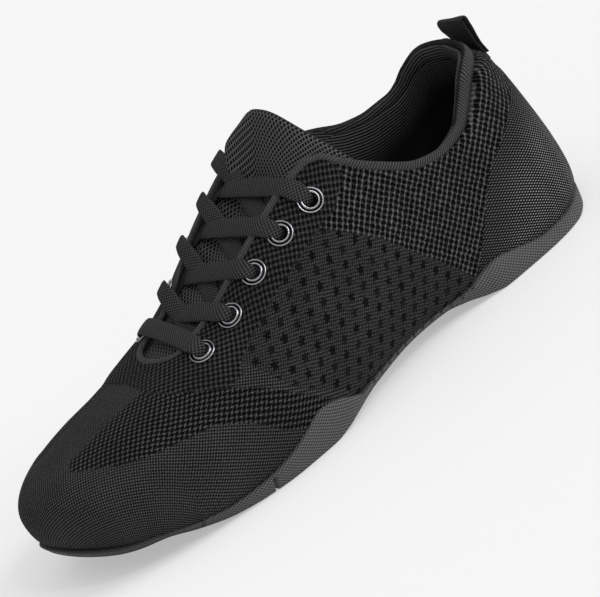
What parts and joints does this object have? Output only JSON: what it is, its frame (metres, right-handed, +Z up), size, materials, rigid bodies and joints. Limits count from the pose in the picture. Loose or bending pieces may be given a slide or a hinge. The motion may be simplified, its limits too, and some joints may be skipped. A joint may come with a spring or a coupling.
{
  "type": "cheerleading shoe",
  "caption": "Low-cut black knit cheer shoe for the left foot: hollow seamless knit upper on a thin split rubber sole, padded tongue, flat lace in metal eyelets, heel pull loop.",
  "frame": {"origin": "on the floor under the middle of the shoe's box", "axes": "+X from heel to toe, +Y to the outer side of the left foot, +Z up"},
  "size_m": [0.2528, 0.0901, 0.0999],
  "materials": {
    "knit": "matte black seamless knit with open mesh zones",
    "sole_rubber": "matte dark grey rubber, finely ridged",
    "insole_foam": "fabric-covered foam",
    "tongue_mesh": "open spacer mesh",
    "webbing": "woven tape",
    "lace": "flat woven lace",
    "eyelet_metal": "black nickel, glossy"
  },
  "bodies": {
    "root": {"outsole": "sole_rubber", "upper": "knit", "insole": "insole_foam", "tongue": "tongue_mesh", "pull_loop": "webbing", "lace_bar_1": "lace", "lace_cross_2": "lace", "lace_cross_3": "lace", "lace_cross_4": "lace", "lace_cross_5": "lace", "eyelet_outer_1": "eyelet_metal", "eyelet_inner_1": "eyelet_metal", "eyelet_outer_2": "eyelet_metal", "eyelet_inner_2": "eyelet_metal", "eyelet_outer_3": "eyelet_metal", "eyelet_inner_3": "eyelet_metal", "eyelet_outer_4": "eyelet_metal", "eyelet_inner_4": "eyelet_metal", "eyelet_outer_5": "eyelet_metal", "eyelet_inner_5": "eyelet_metal"}
  },
  "joints": []
}
